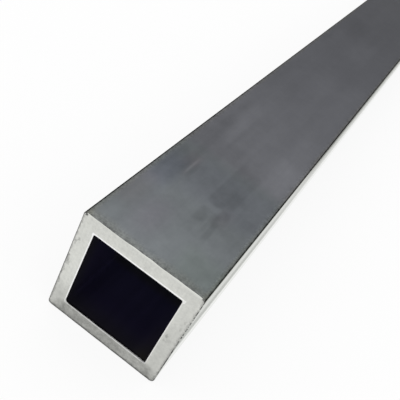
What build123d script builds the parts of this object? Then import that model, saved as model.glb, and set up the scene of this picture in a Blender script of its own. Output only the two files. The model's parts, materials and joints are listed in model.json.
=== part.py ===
"""A sawn length of heavy-wall square aluminium tube.

The tube is one hollow extrusion. It lies along Y on its flat underside, with Z up, X across the
section, and the origin in the middle of the underside. All sizes are in millimetres.
"""

import os

from build123d import *

# Section of the extrusion
side = 25.4  # outer width and height, 1 in
wall = 3.25  # wall thickness, 10 SWG
outer_corner_radius = 0.7  # along the four long outer edges
bore_corner_radius = 0.5  # along the four long edges of the bore

# Sawn length and its ends
length = 304.8  # 12 in cut length
outer_edge_break = 0.15  # filed off the outer rim of each sawn end
mouth_edge_break = 0.2  # deburred off the rim of the bore at each sawn end

bore = side - 2 * wall
density = 2.7e-6  # aluminium, kg per cubic millimetre

# The section stands in XZ, halfway along the tube, with its centre half a side above the floor.
mid_length = Plane(origin=(0, 0, side / 2), x_dir=(1, 0, 0), z_dir=(0, -1, 0))

with BuildPart() as tube:
    with BuildSketch(mid_length):
        RectangleRounded(side, side, outer_corner_radius)
        RectangleRounded(bore, bore, bore_corner_radius, mode=Mode.SUBTRACT)
    extrude(amount=length / 2, both=True)

    # Each sawn end is an annular flat: one rim outside, one round the mouth of the bore.
    sawn_ends = tube.faces().filter_by(Axis.Y)
    outer_rims = [edge for end in sawn_ends for edge in end.outer_wire().edges()]
    mouth_rims = [edge for end in sawn_ends for edge in end.inner_wires().edges()]
    chamfer(outer_rims, outer_edge_break)
    chamfer(mouth_rims, mouth_edge_break)

tube.part.label = "square_tube"

os.makedirs("parts", exist_ok=True)
export_step(tube.part, "parts/square_tube.step")

print(f"section {side} x {side} mm, wall {wall} mm, bore {bore:.2f} mm square, length {length} mm")
print(f"volume {tube.part.volume:.0f} mm3, mass {tube.part.volume * density:.3f} kg")
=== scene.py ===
# %% [markdown]
# # A sawn length of square aluminium tube
# The tube is one hollow extrusion with a thick wall. Its outside keeps the dull skin that the die and
# the mill left on it, its two ends are sawn square and roughly filed, and its bore is dark.
# Everything here is in metres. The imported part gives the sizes, so the tube that is seen stands
# exactly where the real solid does.

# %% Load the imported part
import json
import math

import bmesh
import bpy
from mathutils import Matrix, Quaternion, Vector, noise


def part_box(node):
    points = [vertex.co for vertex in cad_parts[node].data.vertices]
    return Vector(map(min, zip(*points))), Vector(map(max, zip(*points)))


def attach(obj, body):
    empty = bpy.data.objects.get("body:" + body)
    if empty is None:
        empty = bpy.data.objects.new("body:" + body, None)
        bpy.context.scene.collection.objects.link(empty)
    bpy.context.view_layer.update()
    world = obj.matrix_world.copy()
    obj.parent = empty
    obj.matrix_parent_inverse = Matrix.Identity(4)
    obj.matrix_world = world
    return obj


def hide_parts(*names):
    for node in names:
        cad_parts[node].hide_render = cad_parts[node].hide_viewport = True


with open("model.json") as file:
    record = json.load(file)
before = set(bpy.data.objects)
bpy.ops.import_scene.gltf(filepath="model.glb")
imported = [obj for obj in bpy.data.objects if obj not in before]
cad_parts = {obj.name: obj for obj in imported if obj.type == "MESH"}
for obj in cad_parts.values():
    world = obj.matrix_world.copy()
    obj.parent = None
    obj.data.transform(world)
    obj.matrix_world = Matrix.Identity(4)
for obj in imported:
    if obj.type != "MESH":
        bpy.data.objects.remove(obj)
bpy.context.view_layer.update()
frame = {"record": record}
MM = 0.001


# %% [markdown]
# ## Sizes
# The sizes could be typed in again, but then a change of the part would not reach the scene. So the
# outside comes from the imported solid, and the wall from the mount on the near end, which sits in the
# middle of the bottom wall. The small radii are named here. The extrusion die wears unevenly, so the
# real tube has four slightly different corners outside and four inside.

# %% Read the sizes of the tube
low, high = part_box("square_tube")
side = high.x - low.x
mid_height = (high.z + low.z) / 2
near_end, far_end = low.y, high.y
length = far_end - near_end
mounts = {mount["name"]: mount for mount in frame["record"]["mounts"]}
wall = 2 * mounts["near_end"]["pos_m"][2]
bore = side - 2 * wall
corners = ("top_left", "top_right", "low_right", "low_left")
outer_radii = dict(zip(corners, (0.5 * MM, 0.5 * MM, 0.85 * MM, 0.7 * MM)))
bore_radii = dict(zip(corners, (0.3 * MM, 0.3 * MM, 0.45 * MM, 0.75 * MM)))
print(f"side {side / MM:.2f}, wall {wall / MM:.2f}, bore {bore / MM:.2f}, length {length / MM:.1f} mm")

# %% [markdown]
# ## Camera
# The camera hangs close over the near end and is rolled to one side, so the tube runs away to the
# upper right in strong perspective. A camera can be set by angles or by a matrix. Here it gets a
# place, a direction to look along and the direction of its right-hand side, all measured in tube
# sides from the near end, because these are easy to read and to change.

# %% Place the camera
camera_place = Vector((0.693 * side, near_end - 2.944 * side, 3.933 * side))
looks_along = Vector((-0.1461, 0.7807, -0.6076)).normalized()
camera_right = Vector((0.8022, 0.4529, 0.3891)).normalized()
focal_length_in_pixels = 642.8
picture_width_in_pixels = 400

bpy.ops.object.camera_add(location=camera_place)
camera = bpy.context.object
camera.name = "camera"
unrolled = looks_along.to_track_quat("-Z", "Y")
right_before = unrolled @ Vector((1, 0, 0))
up_before = unrolled @ Vector((0, 1, 0))
roll = math.atan2(camera_right.dot(up_before), camera_right.dot(right_before))
camera.rotation_mode = "QUATERNION"
camera.rotation_quaternion = unrolled @ Quaternion((0, 0, 1), roll)
camera.data.sensor_width = 36
camera.data.lens = focal_length_in_pixels / picture_width_in_pixels * camera.data.sensor_width
camera.data.clip_start = 0.01
bpy.context.scene.camera = camera
print(f"camera rolled {math.degrees(roll):.1f} degrees, lens {camera.data.lens:.1f} mm")

# %% [markdown]
# ## Light
# Dull metal shows little more than what it reflects, so a bare metal part needs pale surroundings.
# A ring of lamps could give them, but each would show as a spot. In a white world every direction
# sends the same light, at the strength at which a colour renders as it is written. One weak lamp
# stands beyond the tube, where the near end of its top face mirrors it to the camera and looks a
# little brighter.

# %% Fill the surroundings with white light
world = bpy.data.worlds.new("white studio")
world.use_nodes = True
world.node_tree.nodes["Background"].inputs["Color"].default_value = (1, 1, 1, 1)
world.node_tree.nodes["Background"].inputs["Strength"].default_value = 1.0
bpy.context.scene.world = world
bpy.context.scene.view_settings.view_transform = "Standard"
print("world strength", world.node_tree.nodes["Background"].inputs["Strength"].default_value)

# %% Hang a weak lamp beyond the tube
def hang_lamp(name, place, aim, size, power):
    """A square soft lamp at a place, turned to shine at another place."""
    bpy.ops.object.light_add(type="AREA", location=place)
    lamp = bpy.context.object
    lamp.name = name
    lamp.rotation_mode = "QUATERNION"
    lamp.rotation_quaternion = (aim - place).to_track_quat("-Z", "Y")
    lamp.data.shape = "SQUARE"
    lamp.data.size = size
    lamp.data.energy = power
    return lamp


near_top = Vector((0, near_end, side))
towards_lamp = Vector((-0.16, 0.60, 0.78)).normalized()
lamp_distance = 1.2
lamp_size = 0.35
lamp_power = 0.32
beyond = near_top + lamp_distance * towards_lamp
far_lamp = hang_lamp("far_lamp", beyond, near_top, lamp_size, lamp_power)
print("lamp at", [round(c, 3) for c in far_lamp.location], "m,", round(far_lamp.data.energy, 3), "W")

# %% [markdown]
# ## Floor
# The tube lies on a plain white sheet. A sheet that only scatters light would look grey under this
# light, so the camera and the metal see most of it as plain white, and the rest is a matt surface
# that takes the soft shadow of the tube. Light Path tells the kinds of rays apart: the camera gets a
# larger share of the matt surface than the metal does, or the shadow would be too faint to see.

# %% Lay the floor sheet
def deselect_all():
    """An operator acts on all that is selected, so each new piece starts from nothing."""
    bpy.ops.object.select_all(action="DESELECT")


def put(tree, value, socket):
    """Join a socket to another one, or write a plain value into it."""
    if isinstance(value, bpy.types.NodeSocket):
        tree.links.new(value, socket)
    else:
        socket.default_value = value


def math_node(tree, operation, *values):
    """A Math node on numbers or sockets, such as ADD, MULTIPLY or MULTIPLY_ADD."""
    node = tree.nodes.new("ShaderNodeMath")
    node.operation = operation
    for value, socket in zip(values, node.inputs):
        put(tree, value, socket)
    return node.outputs[0]


floor_size = 6
white_seen_by_camera = 0.88
white_seen_by_metal = 0.96
deselect_all()
bpy.ops.mesh.primitive_plane_add(size=floor_size, location=(0, 0, 0))
floor = bpy.context.object
floor.name = "floor"
paper = bpy.data.materials.new("white_sheet")
paper.use_nodes = True
sheet = paper.node_tree
sheet.nodes.clear()
matt = sheet.nodes.new("ShaderNodeBsdfDiffuse")
matt.inputs["Color"].default_value = (0.95, 0.95, 0.95, 1)
plain_white = sheet.nodes.new("ShaderNodeEmission")
rays = sheet.nodes.new("ShaderNodeLightPath")
white_for_camera = math_node(sheet, "MULTIPLY", rays.outputs["Is Camera Ray"], white_seen_by_camera)
mirrored = math_node(sheet, "MAXIMUM", rays.outputs["Is Glossy Ray"], rays.outputs["Is Transmission Ray"])
white_for_metal = math_node(sheet, "MULTIPLY", mirrored, white_seen_by_metal)
white_share = math_node(sheet, "MAXIMUM", white_for_camera, white_for_metal)
either = sheet.nodes.new("ShaderNodeMixShader")
surface = sheet.nodes.new("ShaderNodeOutputMaterial")
sheet.links.new(white_share, either.inputs[0])
sheet.links.new(matt.outputs[0], either.inputs[1])
sheet.links.new(plain_white.outputs[0], either.inputs[2])
sheet.links.new(either.outputs[0], surface.inputs["Surface"])
floor.data.materials.append(paper)
print("floor", tuple(floor.dimensions), "m")

# %% [markdown]
# ## The section
# A tube could be made from a cube with a hole cut through it, or from a curve with a thickness. An
# extrusion is better drawn as the die draws it: first the section, then its length. The section is
# two squares on the plane of the near end, each with four rounded corners. The flats are divided
# finely, because the rough filing of the rims later needs points to work with.

# %% Choose edges, faces and points by their place
def pick(kind, wanted):
    """In edit mode, select the verts, edges or faces for which wanted() is true, and count them."""
    mode = {"verts": "VERT", "edges": "EDGE", "faces": "FACE"}[kind]
    bpy.ops.mesh.select_mode(type=mode)
    bpy.ops.mesh.select_all(action="DESELECT")
    mesh = bmesh.from_edit_mesh(bpy.context.object.data)
    picked = [item for item in getattr(mesh, kind) if wanted(item)]
    for item in picked:
        item.select_set(True)
    mesh.select_flush_mode()
    bmesh.update_edit_mesh(bpy.context.object.data)
    return len(picked)


def from_axis(point):
    """How far a point lies from the tube's axis, across and in height, whichever is more."""
    return max(abs(point.x), abs(point.z - mid_height))


# %% Draw one square of the section with its four rounded corners
corner_steps = 6
same_point = 0.01 * MM
corner_signs = dict(zip(corners, ((-1, 1), (1, 1), (1, -1), (-1, -1))))


def round_corners(width, radii):
    """Bevel the four corner points of a square that stands on the plane of the near end."""
    for corner, (across, up) in corner_signs.items():
        place = Vector((across * width / 2, near_end, mid_height + up * width / 2))
        pick("verts", lambda vert: (vert.co - place).length < same_point)
        bpy.ops.mesh.bevel(offset=radii[corner], segments=corner_steps, affect="VERTICES")


deselect_all()
upright = (math.pi / 2, 0, 0)
bpy.ops.mesh.primitive_plane_add(size=side, location=(0, near_end, mid_height), rotation=upright)
tube = bpy.context.object
tube.name = "tube"
bpy.ops.object.transform_apply(location=True, rotation=True, scale=True)
bpy.ops.object.mode_set(mode="EDIT")
round_corners(side, outer_radii)
bpy.ops.mesh.primitive_plane_add(size=bore, location=(0, near_end, mid_height), rotation=upright)
round_corners(bore, bore_radii)
bpy.ops.mesh.select_all(action="SELECT")
bpy.ops.mesh.delete(type="ONLY_FACE")
print("section drawn with", len(bmesh.from_edit_mesh(tube.data).verts), "points")

# %% Divide the flats and fill the wall between the two squares
points_on_a_flat = 95
rings_in_the_wall = 6
flats = pick("edges", lambda edge: edge.calc_length() > bore / 2)
bpy.ops.mesh.subdivide(number_cuts=points_on_a_flat)
bpy.ops.mesh.select_all(action="SELECT")
bpy.ops.mesh.bridge_edge_loops(number_cuts=rings_in_the_wall, interpolation="LINEAR")
print(flats, "flats divided, wall filled with", len(bmesh.from_edit_mesh(tube.data).faces), "faces")

# %% [markdown]
# ## The length
# One push over the whole length would do for a plain tube. Here the section is pushed along in steps,
# short at both sawn ends, where the rims are worked, and longer between them, where nothing changes.

# %% Push the section along the tube
end_steps = [0.6 * MM, 0.8 * MM, 1.6 * MM, 3.0 * MM]
middle_steps = 40
middle = length - 2 * sum(end_steps)
steps = end_steps + [middle / middle_steps] * middle_steps + end_steps[::-1]
bpy.ops.mesh.select_all(action="SELECT")
for step in steps:
    bpy.ops.mesh.extrude_region_move(TRANSFORM_OT_translate={"value": (0, step, 0)})
bpy.ops.mesh.select_all(action="SELECT")
bpy.ops.mesh.normals_make_consistent(inside=False)
print("tube of", len(bmesh.from_edit_mesh(tube.data).faces), "faces, steps from", min(steps) / MM, "mm")

# %% [markdown]
# ## Six finishes on one piece
# Six looks could be six objects, but this is one solid thing, and one piece can carry several
# materials, one for each slot. Each face says which slot it uses. Here the skin, the skin of the two
# sides, the sawn faces, the filed outer rims, the deburred rims of the bore and the bore itself look
# different. The slots come now, so that the rims can take theirs as they are cut.

# %% Give the tube its six slots and its faces their slots
finish_names = ("mill_skin", "side_skin", "sawn_face", "filed_rim", "deburred_mouth", "dark_bore")
finishes = {}
for name in finish_names:
    finishes[name] = bpy.data.materials.new(name)
    finishes[name].use_nodes = True
    tube.data.materials.append(finishes[name])


def give_finish(name, wanted):
    """Select faces by place or normal and put them in the slot of a finish."""
    count = pick("faces", wanted)
    bpy.context.object.active_material_index = finish_names.index(name)
    bpy.ops.object.material_slot_assign()
    print(f"{name}: {count} faces")


middle_of_the_wall = (side + bore) / 4
towards = 0.9  # a face whose normal has more than this along an axis looks along it
across_it = 0.1  # a face whose normal has less than this along an axis looks sideways


def outside(face):
    """Whether a face of the tube lies on its outside and not in its bore."""
    return from_axis(face.calc_center_median()) > middle_of_the_wall


give_finish("sawn_face", lambda face: abs(face.normal.y) > towards)
give_finish("mill_skin", lambda face: abs(face.normal.y) < across_it and outside(face))
give_finish("side_skin", lambda face: abs(face.normal.x) > towards and outside(face))
give_finish("dark_bore", lambda face: abs(face.normal.y) < across_it and not outside(face))
bpy.ops.object.mode_set(mode="OBJECT")

# %% [markdown]
# ## Filed rims
# A saw leaves a sharp, ragged burr. It is taken off by hand with a file, and a hand doesn't press
# evenly, so the bright facet round the end is wider in some places than in others. The bevel operator
# would cut it evenly. A Bevel modifier can read a weight from each edge and multiply its width by it,
# so uneven weights make uneven filing. Noise gives the weights, and a short list gives those of the
# near top rim, where the file slipped in some places and bit in others.

# %% Say how wide each spot of the outer rim is filed
widest_filing = 0.5 * MM
plain_filing = 0.2 * MM
uneven_filing = 0.16 * MM
uneven_share_on_top = 0.15
filing_grain = 900  # noise has about one spot for each metre divided by this
fine_filing_grain = 1500
top_filing = (
    # place across the top of the near end, from its middle, and the width filed there, both in mm
    (-12.0, 0.08),
    (-8.0, 0.10),
    (-7.0, 0.05),
    (-5.5, 0.06),
    (-3.3, 0.03),
    (-2.2, 0.32),
    (-1.6, 0.32),
    (-0.6, 0.06),
    (1.5, 0.35),
    (3.5, 0.04),
    (5.0, 0.24),
    (5.7, 0.15),
    (7.0, 0.31),
    (8.5, 0.16),
    (11.5, 0.33),
)


def filing_width(place):
    """The width of the filed facet at a place on an outer rim."""
    if place.y < 0 and place.z > side - wall / 2:
        for (start, width), (stop, next_width) in zip(top_filing, top_filing[1:]):
            if start * MM <= place.x < stop * MM:
                share = (place.x / MM - start) / (stop - start)
                spot_width = (width + (next_width - width) * share) * MM
                jitter = uneven_share_on_top * uneven_filing * noise.noise(place * fine_filing_grain)
                return spot_width + jitter
    return plain_filing + uneven_filing * noise.noise(place * filing_grain)


# %% Cut a rim with a Bevel modifier and uneven weights
at_the_end = 0.001 * MM
facet_steps = 2


def cut_rim(name, on_rim, width_at, widest, slot):
    """Weigh the edges of a rim by the width wanted there, and bevel them with a modifier."""
    weights = tube.data.attributes.get("bevel_weight_edge")
    if weights is None:
        weights = tube.data.attributes.new("bevel_weight_edge", "FLOAT", "EDGE")
    count = 0
    for edge in tube.data.edges:
        ends = [tube.data.vertices[index].co for index in edge.vertices]
        rim_edge = all(abs(abs(end.y) - length / 2) < at_the_end and on_rim(end) for end in ends)
        weight = width_at((ends[0] + ends[1]) / 2) / widest if rim_edge else 0.0
        weights.data[edge.index].value = weight
        count += rim_edge
    file_cut = tube.modifiers.new(name, "BEVEL")
    file_cut.limit_method = "WEIGHT"
    file_cut.width = widest
    file_cut.segments = facet_steps
    file_cut.use_clamp_overlap = False
    file_cut.material = finish_names.index(slot)
    bpy.ops.object.modifier_apply(modifier=name)
    print(f"{name}: {count} edges, {len(tube.data.polygons)} faces after it")


def on_outer_rim(end):
    """Whether a point of a sawn end lies on its outer rim, rounded corners included."""
    return from_axis(end) > side / 2 - 0.26 * MM


deselect_all()
tube.select_set(True)
bpy.context.view_layer.objects.active = tube
cut_rim("outer_filing", on_outer_rim, filing_width, widest_filing, "filed_rim")

# %% [markdown]
# ## Deburred mouths
# The rims of the bore are cleaned with a turned blade, which leaves a narrow, bright and fairly even
# facet. It leans harder on the top and bottom rims towards the right. The same function with gentler
# weights makes them.

# %% Deburr the mouths of the bore
widest_deburr = 0.4 * MM
side_deburr = 0.15 * MM
top_deburr = 0.25 * MM
bottom_deburr = 0.21 * MM
uneven_deburr = 0.1 * MM
leaning = 0.1 * MM / (bore / 2)  # width gained for each metre to the right


def deburr_width(place):
    """The width of the scraped facet at a place on a rim of the bore."""
    width = side_deburr
    if place.z > mid_height + abs(place.x):
        width = top_deburr + leaning * place.x
    if place.z < mid_height - abs(place.x):
        width = bottom_deburr + leaning * place.x
    return width + uneven_deburr * noise.noise(place * filing_grain)


def on_mouth(end):
    """Whether a point of a sawn end lies on the rim of the bore, rounded corners included."""
    return from_axis(end) < bore / 2 + 0.2 * MM


cut_rim("mouth_deburring", on_mouth, deburr_width, widest_deburr, "deburred_mouth")

# %% Check the finished mesh
shape = bmesh.new()
shape.from_mesh(tube.data)
open_edges = sum(not edge.is_manifold for edge in shape.edges)
triangles = sum(len(face.verts) - 2 for face in shape.faces)
print(f"{triangles} triangles, {open_edges} open edges, {shape.calc_volume() / MM ** 3:.0f} mm3")
shape.free()
smooth_below = math.radians(35)
bpy.ops.object.shade_smooth_by_angle(angle=smooth_below)

# %% [markdown]
# ## Tools for the finishes
# Every finish below is made from the same few nodes: the position on the tube in metres, noise that
# is stretched along one direction, and soft patches at chosen places. Object coordinates give the
# position. They stay with the tube when it moves, and all four faces get their own pattern. A tone is
# a number that a colour is multiplied by, and a share is a number from 0 to 1.

# %% Position, noise and soft patches
def bare_metal(name):
    """The nodes of a finish and its shader, which is set to metal."""
    tree = finishes[name].node_tree
    shader = tree.nodes["Principled BSDF"]
    shader.inputs["Metallic"].default_value = 1.0
    return tree, shader


def position_on(tree):
    """The position on the tube, in metres."""
    return tree.nodes.new("ShaderNodeTexCoord").outputs["Object"]


def vector_node(tree, operation, *values):
    """A Vector Math node on vectors or sockets."""
    node = tree.nodes.new("ShaderNodeVectorMath")
    node.operation = operation
    for value, socket in zip(values, node.inputs):
        put(tree, value, socket)
    return node.outputs[0]


def grain(tree, position, size, detail=2.0, roughness=0.5):
    """Noise whose spots have a size in metres along X, Y and Z. Its values lie round 0.5."""
    spots = tree.nodes.new("ShaderNodeTexNoise")
    spots.inputs["Scale"].default_value = 1.0
    spots.inputs["Detail"].default_value = detail
    spots.inputs["Roughness"].default_value = roughness
    stretched = vector_node(tree, "MULTIPLY", position, tuple(1 / s for s in size))
    tree.links.new(stretched, spots.inputs["Vector"])
    return spots.outputs["Fac"], spots.outputs["Color"]


def ramp(tree, value, start, stop, at_start=0.0, at_stop=1.0):
    """A smooth change from one value to another while an input goes from start to stop."""
    node = tree.nodes.new("ShaderNodeMapRange")
    node.interpolation_type = "SMOOTHSTEP"
    for number, socket in zip((value, start, stop, at_start, at_stop), node.inputs):
        put(tree, number, socket)
    return node.outputs["Result"]


def patch(tree, position, centre, half_size, soft):
    """A box with soft sides: 1 inside, 0 outside. All three sizes are vectors in metres."""
    away = vector_node(tree, "SUBTRACT", position, centre)
    away = vector_node(tree, "ABSOLUTE", away)
    fall = tree.nodes.new("ShaderNodeMapRange")
    fall.data_type = "FLOAT_VECTOR"
    fall.interpolation_type = "SMOOTHSTEP"
    inner = tuple(h - s for h, s in zip(half_size, soft))
    outer = tuple(h + s for h, s in zip(half_size, soft))
    # a Map Range node has its sockets for plain numbers first, so those for vectors are 6 to 10
    for value, index in ((away, 6), (inner, 7), (outer, 8), ((1, 1, 1), 9), ((0, 0, 0), 10)):
        put(tree, value, fall.inputs[index])
    sides = tree.nodes.new("ShaderNodeSeparateXYZ")
    tree.links.new(fall.outputs["Vector"], sides.inputs[0])
    flat = math_node(tree, "MULTIPLY", sides.outputs["X"], sides.outputs["Y"])
    return math_node(tree, "MULTIPLY", flat, sides.outputs["Z"])


def coordinates(tree, position):
    """X, Y and Z of a position as three numbers."""
    parts = tree.nodes.new("ShaderNodeSeparateXYZ")
    tree.links.new(position, parts.inputs[0])
    return parts.outputs["X"], parts.outputs["Y"], parts.outputs["Z"]


print("position, noise and patches ready")

# %% Tones, shares and mixes
def add_grain(tree, tone, spots, amount):
    """Raise and lower a tone by noise, by half the amount at most."""
    lowered = math_node(tree, "SUBTRACT", tone, amount / 2)
    return math_node(tree, "MULTIPLY_ADD", spots, amount, lowered)


def change_where(tree, tone, share, amount):
    """Multiply a tone by 1 + amount where a share is 1, and leave it where the share is 0."""
    factor = math_node(tree, "MULTIPLY_ADD", share, amount, 1.0)
    return math_node(tree, "MULTIPLY", tone, factor)


def centred(tree, spots):
    """Noise that lies round 0 and not round 0.5."""
    return math_node(tree, "SUBTRACT", spots, 0.5)


def mix_numbers(tree, share, first, second):
    """One number where a share is 0 and another where it is 1."""
    node = tree.nodes.new("ShaderNodeMix")
    # the same node mixes numbers, vectors and colours; sockets 2 and 3 are for numbers
    for value, index in ((share, 0), (first, 2), (second, 3)):
        put(tree, value, node.inputs[index])
    return node.outputs[0]


def mix_colours(tree, share, first, second):
    """One colour where a share is 0 and another where it is 1."""
    node = tree.nodes.new("ShaderNodeMix")
    node.data_type = "RGBA"
    # sockets 6 and 7 are for colours
    for value, index in ((share, 0), (first, 6), (second, 7)):
        put(tree, value, node.inputs[index])
    return node.outputs[2]


def scale(tree, colour, tone):
    """A colour multiplied by a tone."""
    node = tree.nodes.new("ShaderNodeVectorMath")
    node.operation = "SCALE"
    put(tree, colour, node.inputs[0])
    put(tree, tone, node.inputs["Scale"])
    return node.outputs[0]


def wavy(tree, position, spots, size):
    """A position pushed about by the colours of a noise, by half a size along each axis at most."""
    push = vector_node(tree, "SUBTRACT", spots, (0.5, 0.5, 0.5))
    push = vector_node(tree, "MULTIPLY", push, size)
    return vector_node(tree, "ADD", position, push)


def add_relief(tree, shader, height, strength, depth):
    """Fine relief: a Bump node shades the surface as if it were uneven by a depth in metres."""
    bump = tree.nodes.new("ShaderNodeBump")
    bump.inputs["Strength"].default_value = strength
    bump.inputs["Distance"].default_value = depth
    tree.links.new(height, bump.inputs["Height"])
    tree.links.new(bump.outputs["Normal"], shader.inputs["Normal"])
    print("relief", round(depth / MM, 4), "mm deep")


def at_a_slant(tree):
    """0 where a surface faces the eye and 1 where it is seen nearly edge on. Only for gloss."""
    glancing = tree.nodes.new("ShaderNodeLayerWeight")
    glancing.inputs["Blend"].default_value = 0.5
    return ramp(tree, glancing.outputs["Facing"], 0.86, 0.95)


print("tones and mixes ready")

# %% [markdown]
# ## Mill skin
# The outside is bare aluminium as the die left it: dull blue-grey, with faint streaks along the tube
# where the die dragged, and cloudy patches where it was handled, stacked and wiped. Noise nodes draw
# them: a painted picture could too, but it would have to be unwrapped onto all four faces. Bare metal
# is Metallic 1. Metal gives back a little less light at a steep slant, just before it mirrors all of
# it. Specular Tint below 1 deepens that, so the far end looks darker. At a glancing angle even a dull
# skin mirrors like glass, and Layer Weight lowers the roughness there.

# %% Streaks and clouds of the mill skin
skin, skin_shader = bare_metal("mill_skin")
skin_shader.inputs["Specular Tint"].default_value = (0.4, 0.4, 0.4, 1)
on_skin = position_on(skin)
across, along, height = coordinates(skin, on_skin)
die_streaks, _ = grain(skin, on_skin, (3.5 * MM, 60 * MM, 3.5 * MM), detail=2)
fine_streaks, _ = grain(skin, on_skin, (0.5 * MM, 30 * MM, 0.5 * MM), detail=1)
clouds, _ = grain(skin, on_skin, (9 * MM, 22 * MM, 9 * MM), detail=3)
stains, _ = grain(skin, on_skin, (2.4 * MM, 3.0 * MM, 2.4 * MM), detail=3, roughness=0.6)
stain_share = ramp(skin, along, near_end, near_end + 80 * MM, 0.34, 0.14)
skin_tone = math_node(skin, "MULTIPLY_ADD", centred(skin, stains), stain_share, 1.0)
skin_tone = add_grain(skin, skin_tone, die_streaks, 0.10)
skin_tone = add_grain(skin, skin_tone, fine_streaks, 0.05)
skin_tone = add_grain(skin, skin_tone, clouds, 0.14)
print("streaks and clouds on", finishes["mill_skin"].name)

# %% [markdown]
# ### Marks on the top face
# The top face also has marks of its own: dark rubbed blocks, pale wiped streaks and a short bright
# scratch. Noise alone would never put them there, so each one is a soft patch at its own place, on a
# list that is easy to change. Noise shifts the position a little first, so that no mark has a ruled
# edge.

# %% Place the marks of the top face
_, wander = grain(skin, on_skin, (4 * MM, 9 * MM, 4 * MM), detail=3)
worn_place = wavy(skin, on_skin, wander, (0.8 * MM, 3 * MM, 0.0))


def top_patch(label, left, right, start, stop, soft_across, soft_along):
    """A soft patch on the top face: across from the middle, along from the near end, in millimetres."""
    centre = ((left + right) / 2 * MM, near_end + (start + stop) / 2 * MM, side)
    half_size = ((right - left) / 2 * MM, (stop - start) / 2 * MM, 2 * MM)
    spot = patch(skin, worn_place, centre, half_size, (soft_across * MM, soft_along * MM, 1 * MM))
    spot.node.label = label
    return spot


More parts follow.
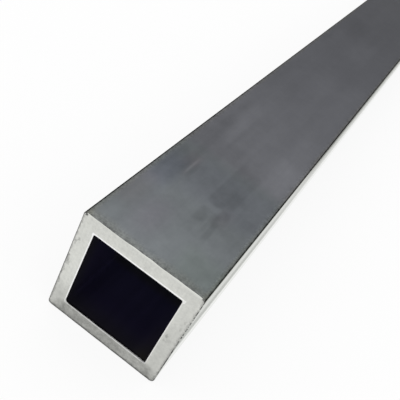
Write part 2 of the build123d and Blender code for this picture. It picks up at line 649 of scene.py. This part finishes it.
top_marks = (
    # left and right from the middle, start and stop from the near end, softness of both, tone added
    ("rubbed block on the left", -11.8, -6.9, 22.0, 34.5, 0.9, 3.5, -0.15),
    ("dark left side of the left block", -11.8, -10.4, 21.5, 30.0, 0.6, 2.0, -0.05),
    ("dark foot of the left block", -11.2, -9.4, 19.0, 21.4, 0.7, 1.0, -0.04),
    ("dull spot under the scratch", -7.4, -4.4, 23.8, 26.0, 0.8, 0.8, -0.05),
    ("dark line beside the scratch", -6.1, -5.2, 25.0, 29.8, 0.4, 1.5, -0.10),
    ("rubbed block on the right", 0.5, 6.1, 22.5, 39.5, 0.4, 3.0, -0.11),
    ("dull left side of the right block", 0.2, 2.2, 23.0, 43.0, 0.6, 2.5, -0.03),
    ("darkest part of the right block", 3.2, 6.4, 22.8, 31.0, 0.8, 2.5, -0.07),
    ("dull patch between the blocks", -7.0, 0.4, 23.0, 45.0, 1.5, 2.5, -0.04),
    ("dull streak beside the left block", -8.0, -3.6, 25.5, 40.0, 1.0, 2.5, -0.035),
    ("pale patch under the left block", -7.6, 0.6, 14.5, 21.5, 1.5, 2.0, 0.045),
    ("pale bow under the right block", 1.0, 4.3, 20.2, 21.9, 0.5, 0.5, 0.06),
    ("lower edge of the right block", 0.5, 4.2, 22.1, 24.6, 0.4, 0.5, -0.06),
    ("short dark rub", 0.8, 3.1, 15.6, 20.0, 0.5, 0.8, -0.11),
    ("tail of the short dark rub", 0.9, 2.6, 11.0, 17.0, 0.6, 2.5, -0.05),
    ("dark stroke", 4.4, 6.5, 17.0, 22.4, 0.6, 1.2, -0.15),
    ("heart of the dark stroke", 5.2, 6.4, 20.4, 22.4, 0.4, 0.8, -0.07),
    ("foot of the dark stroke", 3.3, 5.0, 17.6, 20.3, 0.6, 1.0, -0.11),
    ("dull strip right of the stroke", 6.4, 7.8, 16.5, 28.5, 0.4, 1.5, -0.07),
    ("tail of the dark stroke", 4.7, 5.9, 11.5, 17.8, 0.3, 1.5, -0.14),
    ("thin dark stroke", 3.7, 4.3, 13.2, 17.3, 0.25, 1.2, -0.06),
    ("faint rub near the right edge", 7.6, 11.6, 16.0, 25.5, 0.8, 1.5, -0.08),
    ("dark part of that rub", 8.6, 10.6, 21.2, 24.6, 0.5, 1.0, -0.09),
    ("dull band across", -13.0, 13.0, 25.0, 36.0, 1.0, 4.0, -0.05),
    ("faint band across", -13.0, 13.0, 20.5, 30.5, 1.0, 2.0, -0.03),
    ("dull band behind it", -13.0, 13.0, 36.5, 44.5, 1.0, 2.0, -0.045),
    # the next three rows are painted highlight, added to the far lamp's reflection on the near end
    ("painted highlight at the cut", -6.0, 4.5, 1.0, 10.0, 2.5, 3.5, 0.04),
    ("painted highlight right of the middle", -1.0, 10.0, 4.5, 12.0, 1.8, 2.5, 0.05),
    ("painted highlight along the cut", -13.0, 13.0, 0.2, 5.0, 0.8, 1.8, 0.03),
    ("pale metal behind the rim", -12.4, -0.8, -1.0, 2.2, 1.2, 1.2, 0.08),
    ("dull right corner", 5.0, 13.5, -2.0, 7.0, 2.0, 1.5, -0.06),
    ("dull spot low on the left", -12.8, -7.8, 8.5, 15.5, 1.5, 2.0, -0.05),
    ("dull patch on the left", -12.8, -7.2, 35.0, 53.0, 1.2, 3.5, -0.13),
    ("pale streak on the left", -8.8, -4.6, 47.0, 68.0, 1.2, 6.0, 0.07),
    ("core of the pale streak", -6.8, -4.6, 43.0, 58.0, 1.0, 7.0, 0.04),
    ("thin dark line beside the streak", -4.9, -4.2, 41.0, 60.0, 0.3, 4.0, -0.03),
    ("thin pale line beside the streak", -3.9, -2.9, 42.0, 56.0, 0.3, 4.0, 0.03),
    ("dark streak on the left", -10.4, -8.2, 45.0, 65.0, 0.8, 6.0, -0.07),
    ("dark streak left of the middle", -5.2, -3.4, 34.0, 60.0, 0.8, 5.0, -0.03),
    ("pale line in the middle", -0.8, 0.7, 38.0, 66.0, 0.4, 5.0, 0.04),
    ("dark streak right of the middle", 4.4, 6.2, 49.0, 58.0, 0.8, 4.0, -0.03),
    ("pale patch in the middle", 0.0, 2.4, 54.0, 64.0, 0.8, 3.0, 0.03),
    ("pale wipe on the right", 5.6, 12.8, 36.5, 51.5, 1.5, 2.5, 0.13),
    ("core of the pale wipe", 7.4, 11.4, 38.5, 47.5, 1.6, 3.0, 0.08),
    ("tail of the pale wipe", 5.6, 11.6, 51.0, 65.0, 1.6, 5.0, 0.08),
    ("pale patch on the right", 5.8, 9.6, 60.0, 80.0, 1.2, 4.0, 0.035),
    ("cloud left of the middle", -6.0, -1.6, 74.0, 86.0, 2.0, 6.0, -0.03),
    ("dark edge on the left", -12.6, -9.6, 74.0, 100.0, 1.2, 6.0, -0.05),
    ("wide cloud on the left", -12.0, 2.0, 78.5, 88.0, 2.0, 4.0, -0.035),
    ("cloud right of the middle", 2.6, 5.4, 70.0, 90.0, 1.2, 6.0, -0.04),
    ("light cloud in the middle", -4.8, 3.2, 84.0, 104.0, 2.2, 7.0, 0.05),
    ("thin cloud left of the middle", -5.2, -2.2, 88.0, 102.0, 1.0, 4.0, -0.035),
    ("haze on the right", 6.0, 12.4, 84.0, 107.0, 2.0, 8.0, 0.07),
    ("light spot far down", -2.0, 5.0, 127.0, 146.0, 2.5, 7.0, 0.10),
    ("dark edge further down", -12.6, -9.6, 126.0, 147.0, 1.2, 6.0, -0.06),
    ("dull patch far down", -9.2, -2.6, 141.0, 162.0, 1.5, 6.0, -0.045),
    # painted shade: the far part of the top face is made darker
    ("painted shade on the far part", -14.0, 14.0, 144.0, 330.0, 1.0, 8.0, -0.04),
)
rub_streaks, _ = grain(skin, on_skin, (1.3 * MM, 16 * MM, 1.3 * MM), detail=2)
marks_tone = 0.0
for *outline, tone in top_marks:
    marks_tone = math_node(skin, "MULTIPLY_ADD", top_patch(*outline), tone, marks_tone)
uneven_rub = math_node(skin, "MULTIPLY_ADD", rub_streaks, 0.5, 0.75)
skin_tone = math_node(skin, "MULTIPLY_ADD", marks_tone, uneven_rub, skin_tone)
print(len(top_marks), "marks on the top face")

# %% Scratch and dark corners
scratch_place = (-6.6 * MM, near_end + 28.5 * MM, side)
scratch_half_size = (0.24 * MM, 2.9 * MM, 1 * MM)
scratch = patch(skin, on_skin, scratch_place, scratch_half_size, (0.2 * MM, 1.5 * MM, 0.5 * MM))
skin_tone = math_node(skin, "MULTIPLY_ADD", scratch, 0.16, skin_tone)
level = math_node(skin, "SUBTRACT", height, mid_height)
smaller = math_node(skin, "MINIMUM", math_node(skin, "ABSOLUTE", across), math_node(skin, "ABSOLUTE", level))
corner = ramp(skin, smaller, side / 2 - 0.45 * MM, side / 2 - 0.25 * MM)
corner_tone = ramp(skin, along, near_end + 50 * MM, near_end + 90 * MM, -0.45, -0.6)
skin_tone = math_node(skin, "MULTIPLY_ADD", corner, corner_tone, skin_tone)
long_edges = (
    # place across, half width and softness of the darkening along it, and the tone added
    (side / 2, 0.24 * MM, 0.06 * MM, -0.33),
    (-side / 2, 0.4 * MM, 0.12 * MM, -0.38),
)
# the two long top edges are made darker
for place_across, half_width, soft, tone in long_edges:
    edge_half_size = (half_width, length, 0.5 * MM)
    edge = patch(skin, on_skin, (place_across, 0, side), edge_half_size, (soft, 0.1, 0.1 * MM))
    skin_tone = math_node(skin, "MULTIPLY_ADD", edge, tone, skin_tone)
print("scratch and", len(long_edges), "dark long edges placed")

# %% Specks along the long edges and the cut, and painted shade under the burr
specks, _ = grain(skin, on_skin, (0.9 * MM, 1.3 * MM, 0.9 * MM), detail=2)
from_end = math_node(skin, "SUBTRACT", length / 2, math_node(skin, "ABSOLUTE", along))
edge_zone = ramp(skin, math_node(skin, "ABSOLUTE", across), side / 2 - 1.7 * MM, side / 2 - 0.6 * MM)
speckled = math_node(skin, "MULTIPLY", edge_zone, centred(skin, specks))
skin_tone = math_node(skin, "MULTIPLY_ADD", speckled, 0.5, skin_tone)
burr_dots, _ = grain(skin, on_skin, (0.34 * MM, 0.42 * MM, 0.34 * MM), detail=1)
cut_zone = ramp(skin, from_end, 3.0 * MM, 0.8 * MM)
burr_zone = math_node(skin, "MAXIMUM", edge_zone, cut_zone)
burr_dots = math_node(skin, "MULTIPLY", burr_zone, centred(skin, burr_dots))
skin_tone = math_node(skin, "MULTIPLY_ADD", burr_dots, 0.9, skin_tone)
# painted shade under the burr: a ragged dark line 0.5 to 0.85 mm from the end, broken by specks
rim_line = ramp(skin, from_end, 0.85 * MM, 0.5 * MM)
burr_shade_line = math_node(skin, "MULTIPLY", rim_line, ramp(skin, specks, 0.4, 0.6, -0.28, 0.06))
skin_tone = math_node(skin, "ADD", skin_tone, burr_shade_line)
print("specks placed")

# %% Two colours of the skin, one near the cut and one further on
far_skin = (0.1458, 0.1488, 0.1617, 1)
near_skin = (0.1379, 0.1493, 0.1566, 1)
_, wavy_along, _ = coordinates(skin, worn_place)
near_the_cut = ramp(skin, wavy_along, near_end + 38.5 * MM, near_end + 33.5 * MM)
skin_tint = mix_colours(skin, near_the_cut, far_skin, near_skin)
print("skin tinted")

# %% Faint coloured blooms of the oxide
blooms = (
    # left and right, start and stop, softness of both, and what red, green and blue are multiplied by
    ("blue on the left block", -12.0, -7.0, 17.0, 29.0, 1.8, 4.0, (0.97, 0.975, 1.06)),
    ("violet near the cut", -7.2, -1.8, 4.5, 14.5, 2.6, 4.4, (1.045, 0.983, 1.03)),
    ("violet haze on the left", -12.8, -8.5, 8.0, 20.0, 1.8, 3.0, (1.035, 0.985, 0.99)),
    ("blue across the rubbed band", -6.0, 12.5, 20.5, 34.0, 1.8, 3.0, (1.005, 0.995, 1.035)),
    ("violet beside the left block", -9.0, -5.6, 28.0, 34.0, 1.0, 2.0, (1.035, 0.985, 1.0)),
    ("brown in the scratch", -7.2, -6.0, 24.0, 32.0, 0.4, 1.0, (1.02, 0.99, 0.98)),
    ("violet in the right block", 4.4, 7.0, 18.0, 23.0, 1.0, 2.0, (1.025, 0.99, 1.0)),
    ("green at the right corner", 4.6, 13.0, 1.0, 9.0, 2.0, 2.5, (0.975, 1.015, 0.96)),
    ("brown along the cut", -13.0, 13.0, -1.0, 1.6, 1.0, 1.2, (1.03, 1.0, 0.93)),
    ("brown along the left edge", -13.6, -11.8, -5.0, 330.0, 0.6, 1.0, (1.03, 1.01, 0.93)),
    ("brown at the left corner", -13.6, -10.8, -5.0, 4.0, 1.2, 2.5, (1.015, 1.0, 0.98)),
    ("brown along the right edge", 12.0, 13.6, -5.0, 330.0, 0.4, 1.0, (1.03, 1.005, 0.93)),
)
unchanged = (1.0, 1.0, 1.0)
for *outline, colour in blooms:
    change = scale(skin, vector_node(skin, "SUBTRACT", colour, unchanged), top_patch(*outline))
    factor = vector_node(skin, "ADD", change, unchanged)
    skin_tint = vector_node(skin, "MULTIPLY", skin_tint, factor)
print(len(blooms), "blooms on the top face")

# %% Join the colour of the skin
skin.links.new(scale(skin, skin_tint, skin_tone), skin_shader.inputs["Base Color"])
print("skin colour joined")

# %% Gloss and fine relief of the skin
dull = math_node(skin, "MULTIPLY_ADD", clouds, 0.12, 0.24)
edge_on_roughness = 0.05
skin_roughness = mix_numbers(skin, at_a_slant(skin), dull, edge_on_roughness)
skin.links.new(skin_roughness, skin_shader.inputs["Roughness"])
add_relief(skin, skin_shader, fine_streaks, 0.25, 0.004 * MM)

# %% [markdown]
# ### Skin of the two sides
# The two sides have the same skin, so their material starts as a copy. Seen along the tube they
# mirror the sheet that they stand on: bright close to it, duller halfway up and bright again under
# the corner. One skin on all four faces doesn't show that, so here the full Specular Tint and a
# roughness that changes with height give it.

# %% Copy the skin for the two sides and change its gloss
bpy.data.materials.remove(finishes["side_skin"])
finishes["side_skin"] = finishes["mill_skin"].copy()
finishes["side_skin"].name = "side_skin"
tube.data.materials[finish_names.index("side_skin")] = finishes["side_skin"]
flank = finishes["side_skin"].node_tree
flank_shader = flank.nodes["Principled BSDF"]
flank_shader.inputs["Specular Tint"].default_value = (0.985, 1, 0.925, 1)
_, along_flank, up_flank = coordinates(flank, position_on(flank))
low_polish = ramp(flank, up_flank, 0.25 * side, 0.5 * side, 0.01, 0.25)
high_polish = ramp(flank, up_flank, 0.55 * side, 0.8 * side, 0.0, -0.1)
near_polish = math_node(flank, "ADD", low_polish, high_polish)
far_polish = ramp(flank, up_flank, 0.1 * side, 0.85 * side, 0.01, 0.235)
dull_top = ramp(flank, up_flank, 0.82 * side, 0.97 * side, 0.0, 0.32)
dull_from = ramp(flank, along_flank, near_end + 1.9 * side, near_end + 2.7 * side)
far_polish = math_node(flank, "ADD", far_polish, math_node(flank, "MULTIPLY", dull_top, dull_from))
far_share = ramp(flank, along_flank, near_end + 1.1 * side, near_end + 3.1 * side)
polish = mix_numbers(flank, far_share, near_polish, far_polish)
plain_roughness = 0.3
flank_roughness = mix_numbers(flank, at_a_slant(flank), plain_roughness, polish)
flank.links.new(flank_roughness, flank_shader.inputs["Roughness"])
print("side skin copied,", len(flank.nodes), "nodes")

# %% [markdown]
# ## Sawn faces
# The saw leaves clean, bright metal with fine parallel teeth marks. The bottom wall is much darker,
# painted shade that fades out where it meets the side walls. A ragged darker line runs along the outer
# edges, with painted shade along the bottom edge, and the lip round the bore is a painted highlight. All
# this follows the walls, so it isn't placed by hand: ramps on the distances from the edges make it.
# In the code, keep is the share of the bright tone that is left under the painted shade and darkening.

# %% Bright sawn metal
sawn, sawn_shader = bare_metal("sawn_face")
on_sawn = position_on(sawn)
x_sawn, _, z_sawn = coordinates(sawn, on_sawn)
mottle, _ = grain(sawn, on_sawn, (0.8 * MM, 1.0, 0.8 * MM), detail=4, roughness=0.7)
blots, _ = grain(sawn, on_sawn, (3.0 * MM, 1.0, 3.0 * MM), detail=2)
teeth, _ = grain(sawn, on_sawn, (0.45 * MM, 1.0, 5.0 * MM), detail=2)
sawn_tone = add_grain(sawn, 1.0, mottle, 0.5)
sawn_tone = add_grain(sawn, sawn_tone, blots, 0.06)
sawn_tone = add_grain(sawn, sawn_tone, teeth, 0.12)
print("sawn metal mottled")

# %% Painted shade on the bottom wall, out to the slanting lines at its two corners
half = side / 2
from_left = math_node(sawn, "ADD", x_sawn, half)
from_right = math_node(sawn, "SUBTRACT", half, x_sawn)
from_side = math_node(sawn, "MINIMUM", from_left, from_right)
from_left_mitre = math_node(sawn, "ADD", from_left, 0.6 * MM)
from_right_mitre = math_node(sawn, "ADD", from_right, 1.6 * MM)
from_mitre = math_node(sawn, "MINIMUM", from_left_mitre, from_right_mitre)
below_mitre = math_node(sawn, "MULTIPLY_ADD", z_sawn, -0.7, from_mitre)
below_mitre = math_node(sawn, "MULTIPLY_ADD", blots, 0.8 * MM, below_mitre)
bottom_wall_shade = ramp(sawn, below_mitre, -0.2 * MM, 3.4 * MM)
bottom_wall_shade = math_node(sawn, "MULTIPLY", bottom_wall_shade, ramp(sawn, z_sawn, wall + 0.6 * MM, wall - 0.2 * MM))
# painted shade: the bottom wall keeps 55 percent of the bright tone
keep = change_where(sawn, 1.0, bottom_wall_shade, -0.45)
print("bottom wall shaded")

# %% Shade on the side walls and the top wall
right_side = ramp(sawn, x_sawn, 0.22 * side, 0.44 * side)
right_low = ramp(sawn, z_sawn, 0.85 * side, 0.35 * side)
right_shade = math_node(sawn, "MULTIPLY", right_side, math_node(sawn, "MULTIPLY_ADD", right_low, 0.13, 0.045))
left_side = ramp(sawn, x_sawn, -0.3 * side, -0.4 * side)
left_shade = math_node(sawn, "MULTIPLY", left_side, ramp(sawn, z_sawn, 0.38 * side, 0.1 * side, 0.0, 0.22))
side_shade = math_node(sawn, "ADD", right_shade, left_shade)
side_shade = change_where(sawn, side_shade, bottom_wall_shade, -0.8)
keep = math_node(sawn, "SUBTRACT", keep, side_shade)
top_shade = ramp(sawn, z_sawn, side - 2.8 * MM, side - 1.0 * MM, 0.0, 0.035)
keep = math_node(sawn, "SUBTRACT", keep, top_shade)
print("walls shaded")

# %% Ragged darkening along the outer edges, and painted shade along the bottom edge
ragged = math_node(sawn, "MULTIPLY_ADD", mottle, 0.9 * MM, -0.45 * MM)
nearest_edge = math_node(sawn, "ADD", math_node(sawn, "MINIMUM", from_side, z_sawn), ragged)
# darker along the outer edges, in a ragged line
edge_darkening = ramp(sawn, nearest_edge, 0.58 * MM, 0.2 * MM)
edge_darkening = math_node(sawn, "MULTIPLY", edge_darkening, ramp(sawn, x_sawn, 0.4 * side, 0.46 * side, 1.0, 0.75))
keep = change_where(sawn, keep, edge_darkening, -0.3)
# painted shade where the bottom edge meets the sheet
bottom_edge_shade = ramp(sawn, math_node(sawn, "ADD", z_sawn, ragged), 0.9 * MM, 0.3 * MM)
keep = change_where(sawn, keep, bottom_edge_shade, -0.5)
print("edges darkened")

# %% Painted highlight on the lip round the bore
level_sawn = math_node(sawn, "ABSOLUTE", math_node(sawn, "SUBTRACT", z_sawn, mid_height))
from_mouth = math_node(sawn, "MAXIMUM", math_node(sawn, "ABSOLUTE", x_sawn), level_sawn)
on_top_wall = ramp(sawn, z_sawn, side - wall - 0.4 * MM, side - wall)
top_lip = 0.24 * MM
top_facet = math_node(sawn, "MULTIPLY_ADD", x_sawn, -leaning, -top_lip)
from_mouth = math_node(sawn, "MULTIPLY_ADD", on_top_wall, top_facet, from_mouth)
# painted highlight: a bright band on the sawn face round the bore, set further out on the top wall
lip = ramp(sawn, from_mouth, bore / 2 + 0.28 * MM, bore / 2 + 0.19 * MM)
lip = math_node(sawn, "MULTIPLY", lip, ramp(sawn, x_sawn, 0.34 * side, 0.37 * side, 1.0, 0.65))
print("lip highlight painted")

# %% Specks on the shaded bottom wall, and all of it put together
dust_specks, _ = grain(sawn, on_sawn, (1.4 * MM, 1.0, 1.4 * MM), detail=4, roughness=0.85)
dust_specks = math_node(sawn, "MULTIPLY", bottom_wall_shade, centred(sawn, dust_specks))
sawn_tone = math_node(sawn, "MULTIPLY_ADD", dust_specks, 1.25, sawn_tone)
# the painted shade of the bottom wall is a little deeper on the left and lighter on the right
bottom_shade_across = ramp(sawn, x_sawn, 0.1 * side, 0.3 * side, -0.07, 0.09)
sawn_tone = math_node(sawn, "MULTIPLY_ADD", bottom_wall_shade, bottom_shade_across, sawn_tone)
sawn_tone = math_node(sawn, "MULTIPLY", sawn_tone, keep)
# the painted highlight makes the lip up to 46 percent brighter
sawn_tone = change_where(sawn, sawn_tone, lip, 0.46)
print("shade, darkening and lip highlight joined")

# %% Smudges on the near end and the colour of the sawn faces
def end_patch(position, label, x, z, half_width, half_height, soft_across, soft_up):
    """A soft patch on the near end: across from the middle and up from the floor, in millimetres."""
    half_size = (half_width * MM, 1 * MM, half_height * MM)
    soft = (soft_across * MM, 0.5 * MM, soft_up * MM)
    spot = patch(sawn, position, (x * MM, near_end, z * MM), half_size, soft)
    spot.node.label = label
    return spot


smudges = (
    # across from the middle, height, half width, half height in millimetres, and the tone taken off
    ("speck at the top left corner", -12.0, 25.0, 0.28, 0.2, 0.8),
    ("smudge high on the left wall", -11.7, 19.3, 0.26, 0.5, 0.30),
    ("tail of that smudge", -12.1, 18.2, 0.24, 0.6, 0.26),
    ("smudge halfway down the left wall", -12.3, 13.8, 0.24, 0.8, 0.26),
    ("rest of that smudge", -12.0, 12.6, 0.3, 0.5, 0.24),
    ("dirt low on the left edge", -12.35, 9.0, 0.16, 2.6, 0.22),
    ("dot on the right wall", 10.35, 12.9, 0.22, 0.3, 0.25),
    ("smear on the right wall", 10.9, 12.1, 0.5, 0.36, 0.11),
    ("second dot on the right wall", 10.1, 11.7, 0.18, 0.24, 0.16),
    ("faint smudge high on the right wall", 11.8, 18.6, 0.2, 0.5, 0.16),
    ("faint smudge below it", 12.0, 16.4, 0.18, 0.5, 0.14),
)
broad_shades = (
    # across from the middle, height, half width, half height and softness in millimetres, and the tone
    ("light low left corner", -11.4, 1.8, 1.5, 1.6, 1.0, 0.05),
    ("dull spot low on the left wall", -11.2, 6.0, 1.5, 1.8, 1.2, -0.03),
    ("light middle of the left wall", -11.2, 13.5, 1.5, 2.5, 1.5, 0.02),
    ("dull middle of the top wall", -0.2, 23.8, 3.5, 1.8, 1.8, -0.02),
    ("dull spot high on the right wall", 11.0, 21.4, 1.4, 1.6, 1.0, -0.02),
    ("dull low right corner", 11.4, 1.5, 1.5, 1.4, 1.0, -0.08),
)
for *outline, soft, tone in broad_shades:
    shade = end_patch(on_sawn, *outline, soft, soft)
    sawn_tone = math_node(sawn, "MULTIPLY_ADD", shade, tone, sawn_tone)
_, smear = grain(sawn, on_sawn, (1.2 * MM, 1.0, 1.2 * MM), detail=2)
smeared_place = wavy(sawn, on_sawn, smear, (1.6 * MM, 0.0, 1.6 * MM))
for *outline, tone in smudges:
    smudge = end_patch(smeared_place, *outline, 0.12, 0.2)
    sawn_tone = math_node(sawn, "MULTIPLY_ADD", smudge, -tone, sawn_tone)
sawn_metal = (0.738, 0.744, 0.706, 1)
# the colour of the painted highlight on the lip
lip_highlight_metal = (0.738, 0.740, 0.724, 1)
sawn_tint = mix_colours(sawn, lip, sawn_metal, lip_highlight_metal)
sawn.links.new(scale(sawn, sawn_tint, sawn_tone), sawn_shader.inputs["Base Color"])
print(len(smudges), "smudges on the near end")

# %% Roughness and teeth marks of the sawn faces
sawn_roughness = math_node(sawn, "MULTIPLY_ADD", mottle, 0.2, 0.45)
sawn.links.new(sawn_roughness, sawn_shader.inputs["Roughness"])
add_relief(sawn, sawn_shader, teeth, 0.4, 0.02 * MM)

# %% [markdown]
# ## Filed rim
# On top the filed facet is as bright as the sawn face. On the sides and below it is mostly dark. Two
# slots could carry the two looks, but they would meet in a hard line, so one finish turns from bright
# to dark by height and by noise.

# %% Bright and dark file marks
rim, rim_shader = bare_metal("filed_rim")
rim_shader.inputs["Roughness"].default_value = 0.5
on_rim = position_on(rim)
x_rim, _, z_rim = coordinates(rim, on_rim)
file_marks, _ = grain(rim, on_rim, (0.8 * MM, 0.8 * MM, 0.8 * MM), detail=3, roughness=0.6)
on_top = ramp(rim, z_rim, side - 0.9 * MM, side - 0.6 * MM)
between_corners = ramp(rim, math_node(rim, "ABSOLUTE", x_rim), side / 2 - 0.5 * MM, side / 2 - 0.9 * MM)
bright = math_node(rim, "MULTIPLY", on_top, between_corners)
clean_nicks = math_node(rim, "MULTIPLY", ramp(rim, file_marks, 0.56, 0.66), 0.5)
on_right = ramp(rim, x_rim, side / 2 - 0.6 * MM, side / 2 - 0.3 * MM)
clean_share = ramp(rim, z_rim, 0.4 * side, 0.65 * side, 0.42, 0.82)
clean_right = math_node(rim, "MULTIPLY", on_right, ramp(rim, file_marks, 0.44, 0.6))
clean_right = math_node(rim, "MULTIPLY", clean_right, clean_share)
bright = math_node(rim, "MAXIMUM", bright, math_node(rim, "MAXIMUM", clean_nicks, clean_right))
# the rim is made dark on the sides and below
dark_rim = (0.10, 0.10, 0.096, 1)
clean_rim = (0.72, 0.73, 0.69, 1)
rim.links.new(mix_colours(rim, bright, dark_rim, clean_rim), rim_shader.inputs["Base Color"])
print("rim dark below and on the sides, bright on top")

# %% [markdown]
# ## Deburred mouth and bore
# The scraped facet round the bore is the brightest metal of all. Behind it the bore is nearly black
# and slightly blue, painted shade. Bare metal there would mirror the white surroundings in at both
# ends, so the bore isn't metal here: it gets a dark, dull colour that changes with the depth, painted
# shade in place of the light that dies away inside.

# %% Bright facet round the bore
mouth, mouth_shader = bare_metal("deburred_mouth")
mouth_shader.inputs["Roughness"].default_value = 0.4
scrape, _ = grain(mouth, position_on(mouth), (0.6 * MM, 0.6 * MM, 0.6 * MM), detail=2)
x_mouth, _, z_mouth = coordinates(mouth, position_on(mouth))
# painted shade: the facet on the bottom wall is about half as bright as the facet higher up
low_mouth_shade = ramp(mouth, z_mouth, wall, wall + 1.5 * MM, 0.50, 0.92)
scraped = math_node(mouth, "MULTIPLY_ADD", scrape, 0.2, low_mouth_shade)
scraped = math_node(mouth, "MULTIPLY", scraped, ramp(mouth, x_mouth, 0.3 * side, 0.36 * side, 1.0, 0.8))
fresh_metal = (1.0, 1.0, 0.985)
mouth.links.new(scale(mouth, fresh_metal, scraped), mouth_shader.inputs["Base Color"])
print("mouth finished")

# %% Dark bore, painted shade
inside = finishes["dark_bore"].node_tree
inside_shader = inside.nodes["Principled BSDF"]
inside_shader.inputs["Roughness"].default_value = 0.8
inside_shader.inputs["Specular IOR Level"].default_value = 0.1
on_bore = position_on(inside)
drag, _ = grain(inside, on_bore, (1.5 * MM, 40 * MM, 1.5 * MM), detail=2)
x_bore, along_bore, _ = coordinates(inside, on_bore)
depth = math_node(inside, "SUBTRACT", length / 2, math_node(inside, "ABSOLUTE", along_bore))
# painted shade: near-black colours that change with the depth
painted_bore_shade = (0.0092, 0.0084, 0.0127, 1)
deeper_colours = (
    # depth in millimetres where each next colour starts to show and where it is all there is
    (0.0, 6.5, (0.0120, 0.0100, 0.0300, 1)),
    (5.0, 18.0, (0.034, 0.032, 0.080, 1)),
    (15.0, 17.5, (0.036, 0.035, 0.050, 1)),
)
for start, stop, colour in deeper_colours:
    deeper_share = ramp(inside, depth, start * MM, stop * MM)
    painted_bore_shade = mix_colours(inside, deeper_share, painted_bore_shade, colour)
right_dust = ramp(inside, x_bore, 0.2 * side, 0.34 * side)
right_dust = math_node(inside, "MULTIPLY", right_dust, ramp(inside, depth, 4 * MM, 15 * MM, 0.9, 0.35))
bore_tone = math_node(inside, "MULTIPLY_ADD", drag, 0.4, 0.8)
bore_tone = math_node(inside, "MULTIPLY", bore_tone, math_node(inside, "ADD", right_dust, 1.0))
bore_tone = math_node(inside, "MULTIPLY", bore_tone, ramp(inside, depth, 0.3 * MM, 0.9 * MM, 0.2, 1.0))
no_dust = (1.0, 1.0, 1.0, 1)
grey_dust = (1.2, 1.22, 0.7, 1)
dust_tint = mix_colours(inside, right_dust, no_dust, grey_dust)
dusty = vector_node(inside, "MULTIPLY", scale(inside, painted_bore_shade, bore_tone), dust_tint)
inside.links.new(dusty, inside_shader.inputs["Base Color"])
print("bore finished, with", len(deeper_colours), "colours behind the first")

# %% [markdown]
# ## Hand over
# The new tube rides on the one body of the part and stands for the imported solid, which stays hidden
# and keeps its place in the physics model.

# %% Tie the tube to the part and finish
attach(tube, "root")
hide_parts("square_tube")
